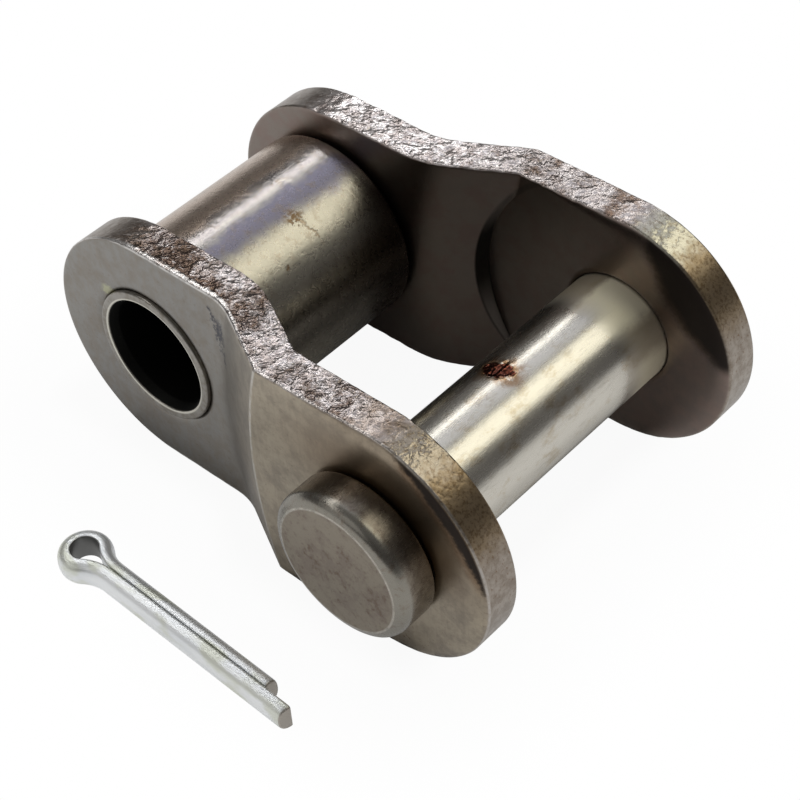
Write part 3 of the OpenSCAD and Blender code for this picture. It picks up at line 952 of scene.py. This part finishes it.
def turned(name, node, profile, centre_x, body, finish, closed=True, segments=192, step=1.5, wear=None):
    """A piece turned about an axis along Y from a profile of (radius, y) points, with its wear cut in."""
    profile = spaced(profile, closed, step)
    angle = np.linspace(0, 2 * math.pi, segments, endpoint=False)
    points = []
    rows = []
    for radius, y in profile:
        if radius < 1e-6:
            rows.append([len(points)])
            points.append((centre_x, y, 0))
            continue
        rows.append(list(range(len(points), len(points) + segments)))
        points += [(centre_x + radius * math.cos(a), y, radius * math.sin(a)) for a in angle]
    faces = []
    for near, far in zip(rows, rows[1:] + (rows[:1] if closed else [])):
        for i in range(segments):
            k = (i + 1) % segments
            if len(near) == 1:
                faces.append((near[0], far[i], far[k]))
            elif len(far) == 1:
                faces.append((near[i], far[0], near[k]))
            else:
                faces.append((near[i], far[i], far[k], near[k]))
    points = np.array(points)
    marks = None
    if wear:
        depth, marks = wear(points)
        out = points - (centre_x, 0, 0)
        out[:, 1] = 0
        points = points - out / np.maximum(np.linalg.norm(out, axis=1), 1e-9)[:, None] * depth[:, None]
    piece = new_piece(name, points, faces, body, finish, marks)
    face_outwards(piece)
    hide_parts(node)
    return piece


def grain_at(points, scale):
    """Soft noise at each point, by its number of waves to the millimetre."""
    return np.array([noise.noise(Vector(point) * scale) for point in points])


def pin_wear(points):
    """Depth of the rust pit at each point of the pin, and where it and its stain show."""
    across = points[:, 0] - PITCH
    arc = np.arctan2(points[:, 2], across) * PIN_R
    on_shank = np.abs(np.hypot(across, points[:, 2]) - PIN_R) < 0.01
    reach = np.hypot((points[:, 1] - PIT_Y) / PIT_LONG, (arc - PIT_ARC) / PIT_WIDE)
    ragged = grain_at(points, 0.7) + 0.7 * grain_at(points, 1.7)
    lumps = grain_at(points, 2.2)
    pitted = smooth_step(1.05, 0.7, reach + 0.4 * ragged) * on_shank
    stained = smooth_step(2.0, 0.7, reach + 0.4 * ragged) * on_shank
    return pitted * (0.16 + 0.22 * lumps).clip(0.01), {"pitted": pitted, "stained": stained}


def cross_drill(piece):
    """Drills the hole for the split pin through the pin."""
    shape = bmesh.new()
    radius = CROSS_HOLE_R * MM
    bmesh.ops.create_cone(shape, cap_ends=True, segments=64, radius1=radius, radius2=radius,
                          depth=PIN_R * 3 * MM)
    drill_mesh = bpy.data.meshes.new("drill")
    shape.to_mesh(drill_mesh)
    shape.free()
    drill = bpy.data.objects.new("drill", drill_mesh)
    bpy.context.scene.collection.objects.link(drill)
    drill.location = Vector(CROSS_HOLE["pos_m"])
    bpy.context.view_layer.update()
    cutting = piece.modifiers.new("cross hole", "BOOLEAN")
    cutting.operation = "DIFFERENCE"
    cutting.solver = "EXACT"
    cutting.object = drill
    drilled = bpy.data.meshes.new_from_object(piece.evaluated_get(bpy.context.evaluated_depsgraph_get()))
    piece.modifiers.clear()
    piece.data = drilled
    bpy.data.objects.remove(drill)


# Split pin

def wire_section(count=40, square=2.5):
    """Points round the half-round wire, out from its flat and up, a little squared by the rolls."""
    angle = np.linspace(-math.pi / 2, math.pi / 2, count)
    out = WIRE_EASE + np.abs(np.cos(angle)) ** (2 / square) * (WIRE_R - SLIT - WIRE_EASE)
    up = np.sign(np.sin(angle)) * np.abs(np.sin(angle)) ** (2 / square) * WIRE_R
    turn = np.linspace(math.pi / 2, math.pi, 8)[1:]
    corner_out = (WIRE_EASE + FLAT_SWELL) * (1 + np.cos(turn)) - FLAT_SWELL
    corner_up = WIRE_R - WIRE_EASE * (1 - np.sin(turn))
    out = np.concatenate([corner_out[::-1], out, corner_out])
    up = np.concatenate([-corner_up[::-1], up, corner_up])
    return out, up


def half_path(leg):
    """Stations from a leg's tip to the crown of the eye: the wire's flat and the way out from it."""
    places = []
    ways = []
    for x in np.arange(leg, 0, -LEG_STEP):
        places.append((x, SLIT))
        ways.append((0, 1))
    for turn in np.linspace(0, NECK_TURN, 14):
        places.append((-NECK_R * math.sin(turn), NECK_R + SLIT - NECK_R * math.cos(turn)))
        ways.append((math.sin(turn), math.cos(turn)))
    for turn in np.linspace(math.pi / 2 - NECK_TURN, math.pi, 26)[1:]:
        places.append((EYE_X + EYE_R * math.cos(turn), EYE_R * math.sin(turn)))
        ways.append((math.cos(turn), math.sin(turn)))
    return np.array(places), np.array(ways)


def split_pin(finish):
    """The split pin: one half-round wire, bent round its eye, with the longer leg's tip cut on a slant."""
    long_places, long_ways = half_path(LONG_LEG)
    short_places, short_ways = half_path(SHORT_LEG)
    mirror = (1, -1)
    places = np.concatenate([long_places * mirror, short_places[-2::-1]])
    ways = np.concatenate([long_ways * mirror, short_ways[-2::-1]])
    out, up = wire_section()
    middle = WIRE_R * 0.42

    rings = []
    cut = []
    count = len(places)
    tips = [(0, share) for share in TIP_RINGS[::-1]] + [(i, 0) for i in range(1, count - 1)]
    tips += [(count - 1, share) for share in TIP_RINGS]
    for i, share in tips:
        shrink = 1 - TIP_SHRINK * (1 - math.sqrt(1 - share ** 2))
        ring_out = middle + (out - middle) * shrink
        point = places[i][:, None] + ways[i][:, None] * ring_out
        slant = math.tan(TIP_SLANT) if i < SLANT_RINGS else 0.0
        point[0] += TIP_EASE * (share - 1) if share else 0.0
        point[0] -= slant * ring_out * (1 - i / SLANT_RINGS)
        rings.append(np.stack([point[0], point[1], up * shrink], 1))
        cut.append(1.0 if share > 0.6 else 0.0)
    points = np.concatenate(rings)
    size = len(out)
    faces = strip(0, size, len(rings))
    faces.append(tuple(range(size)))
    faces.append(tuple(range(len(points) - size, len(points)))[::-1])

    # Points on the eye's inner wall, which take the painted shade
    eye_reach = np.hypot(points[:, 0] - EYE_X, points[:, 1])
    inside = smooth_step(EYE_R + 0.06, EYE_R - 0.04, eye_reach) * (points[:, 0] < EYE_X + EYE_R)
    turn = Matrix.Rotation(SPLIT_PIN_TURN, 3, "Z")
    points = points @ np.array(turn).T + SPLIT_PIN_PLACE
    marks = {"inside": inside, "cut": np.repeat(cut, size)}
    piece = new_piece("split_pin", points, faces, "link", finish, marks)
    face_outwards(piece)
    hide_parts("cotter")


# The scene's pieces

near_finish = plate_steel(
    "plate_steel_near", shift=(0, 0, 0), browning=0.1, scale_width=1.6, scale_fade=0.4,
    silver=(0.57, 0.53, 0.522, 1), greying=0.0, straw_tint=(0.32, 0.275, 0.205, 1),
    torn_depth=0.15, scored=True)
far_finish = plate_steel(
    "plate_steel_far", shift=(140, 35, 60), browning=-0.14, scale_width=4.4, scale_fade=2.6,
    silver=(0.78, 0.74, 0.73, 1), greying=0.72, straw_tint=(0.48, 0.462, 0.37, 1),
    torn_depth=0.095, scored=False)
cranked_plate("near_cranked_plate", "head_side_plate", side=-1, seed=0, finish=near_finish)
cranked_plate("far_cranked_plate", "cotter_side_plate", side=1, seed=50, finish=far_finish)

bush_profile = eased([
    (BORE_R, -BUSH_END + BUSH_LEAD, 0.1), (BORE_R + BUSH_CHAMFER, -BUSH_END, 0.14), (BUSH_R, -BUSH_END, 0.3),
    (BUSH_R, BUSH_END, 0.3), (BORE_R + BUSH_CHAMFER, BUSH_END, 0.14), (BORE_R, BUSH_END - BUSH_LEAD, 0.1)])
turned("pressed_bush", "bush", bush_profile, 0, "link", bush_steel())

roller_profile = eased([
    (ROLLER_BORE_R, -ROLLER_END, 0.2), (ROLLER_R, -ROLLER_END, ROLLER_ROUND),
    (ROLLER_R, ROLLER_END, ROLLER_ROUND), (ROLLER_BORE_R, ROLLER_END, 0.2)])
turned("hardened_roller", "roller", roller_profile, 0, "roller", roller_steel())

pin_profile = eased([
    (0, -HEAD_FACE, 0), (HEAD_R - HEAD_RIM, -HEAD_FACE, 0.1), (HEAD_R, -HEAD_FACE + 0.5, 1.0),
    (HEAD_R, -HEAD_SEAT - 0.5, 0.2), (HEAD_R - 0.5, -HEAD_SEAT, 0.2), (PIN_R, -HEAD_SEAT, 0),
    (PIN_R, PIN_TIP - TIP_CHAMFER, 0.4), (PIN_R - TIP_CHAMFER, PIN_TIP, 0.3), (0, PIN_TIP, 0)], 10)
headed_pin = turned("headed_pin", "pin", pin_profile, PITCH, "pin", pin_steel(),
                    closed=False, segments=300, step=0.3, wear=pin_wear)
cross_drill(headed_pin)

split_pin(split_pin_zinc())


# Stage

# Colours of the studio
PAPER_WHITE = (0.9, 0.9, 0.9, 1)
FULL_WHITE = (1, 1, 1, 1)
ROOM_WALL = (0.13, 0.126, 0.125, 1)
ROOM_CEILING = (0.28, 0.28, 0.28, 1)
ROOM_SKIRTING = (0.7, 0.7, 0.7, 1)


def studio_floor():
    """White floor that stays white to the eye and keeps the link's shadow."""
    material, f = new_finish("studio_floor")
    paper = f.node("ShaderNodeBsdfDiffuse", None, {"Color": PAPER_WHITE})
    white = f.node("ShaderNodeEmission", None, {"Color": FULL_WHITE, "Strength": 1.0})
    x, y, _ = f.axes(f.place())
    beside = f.most(f.most(-PLATE_R - x, x - PITCH - 3), 0.0)
    reach = f.ramp(x, 8, 20, BUSH_OUTER, PIN_OUTER)
    before = f.most(f.size(y) - reach, 0.0)
    distance = (beside * beside + before * before) ** 0.5
    away = f.ramp(distance, 0, 6, 0, 0.5) + f.ramp(distance, 6, 26, 0, 0.5)
    seen = f.node("ShaderNodeLightPath", output="Is Camera Ray")
    mirrored = f.node("ShaderNodeLightPath", output="Is Glossy Ray")
    through = f.node("ShaderNodeLightPath", output="Is Transmission Ray")
    share = seen * (0.94 + 0.06 * away) + (mirrored + through) * away * 0.8
    shader = f.node("ShaderNodeMixShader", None, {0: share, 1: paper, 2: white})
    f.node("ShaderNodeOutputMaterial", None, {"Surface": shader})
    mesh = bpy.data.meshes.new("studio_floor")
    level = (FLOOR - 0.02) * MM
    corners = [(FLOOR_REACH * a, FLOOR_REACH * b, level) for a, b in ((-1, -1), (1, -1), (1, 1), (-1, 1))]
    mesh.from_pydata(corners, [], [(0, 1, 2, 3)])
    mesh.materials.append(material)
    floor = bpy.data.objects.new("studio_floor", mesh)
    bpy.context.scene.collection.objects.link(floor)


def studio_room():
    """A dim room with a pale skirting near the horizon and a lighter ceiling."""
    world = bpy.data.worlds.new("studio_room")
    world.use_nodes = True
    bpy.context.scene.world = world
    f = Finish(world.node_tree)
    way = f.node("ShaderNodeTexCoord", output="Generated")
    rise = f.axes(way)[2]
    walls = f.blend(f.ramp(rise, 0.45, 0.95), ROOM_WALL, ROOM_CEILING)
    room = f.blend(f.ramp(rise, 0.0, 0.05), ROOM_SKIRTING, walls)
    shader = f.node("ShaderNodeBackground", None, {"Color": room, "Strength": 1.0})
    f.node("ShaderNodeOutputWorld", None, {"Surface": shader})


def softbox(name, angle, lean, distance, width, length, brightness, colour):
    """An area lamp at an angle above +X round the roller's axis, leaning to +Y, with its length along Y."""
    turn = math.radians(angle)
    tilt = math.radians(lean)
    radial = Vector((math.cos(turn), 0, math.sin(turn)))
    away = radial * math.cos(tilt) + Vector((0, math.sin(tilt), 0))
    along = Vector((0, math.cos(tilt), 0)) - radial * math.sin(tilt)
    lamp = bpy.data.lights.new(name, "AREA")
    lamp.shape = "RECTANGLE"
    lamp.size = width
    lamp.size_y = length
    lamp.energy = brightness * width * length * WATTS_TO_BRIGHTNESS
    lamp.color = colour
    holder = bpy.data.objects.new(name, lamp)
    bpy.context.scene.collection.objects.link(holder)
    axes = Matrix((along.cross(away), along, away)).transposed()
    middle = Vector((PITCH / 2 * MM, 0, 0))
    holder.matrix_world = Matrix.Translation(middle + away * distance) @ axes.to_4x4()


def camera():
    """The viewpoint of the picture, on a long lens."""
    lens = bpy.data.cameras.new("viewpoint")
    lens.lens = CAMERA_LENS
    lens.sensor_width = CAMERA_SENSOR
    lens.clip_start = 0.01
    holder = bpy.data.objects.new("viewpoint", lens)
    bpy.context.scene.collection.objects.link(holder)
    turn = (CAMERA_AIM - CAMERA_PLACE).to_track_quat("-Z", "Y").to_matrix()
    turn = turn @ Matrix.Rotation(CAMERA_ROLL, 3, "Z")
    holder.matrix_world = Matrix.Translation(CAMERA_PLACE) @ turn.to_4x4()
    bpy.context.scene.camera = holder


studio_floor()
studio_room()
softbox("warm_softbox", angle=66, lean=32, distance=0.6, width=0.32, length=0.45, brightness=1.8,
        colour=(1, 0.97, 0.82))
softbox("white_strip", angle=127, lean=14, distance=0.6, width=0.06, length=1.4, brightness=5.0,
        colour=(1, 1, 1))
softbox("cool_panel", angle=106, lean=32, distance=0.65, width=0.25, length=0.5, brightness=0.75,
        colour=(0.87, 0.9, 1))
softbox("front_fill", angle=120, lean=-55, distance=0.9, width=0.9, length=0.6, brightness=0.5,
        colour=(1, 1, 1))
camera()
bpy.context.scene.view_settings.view_transform = "Standard"
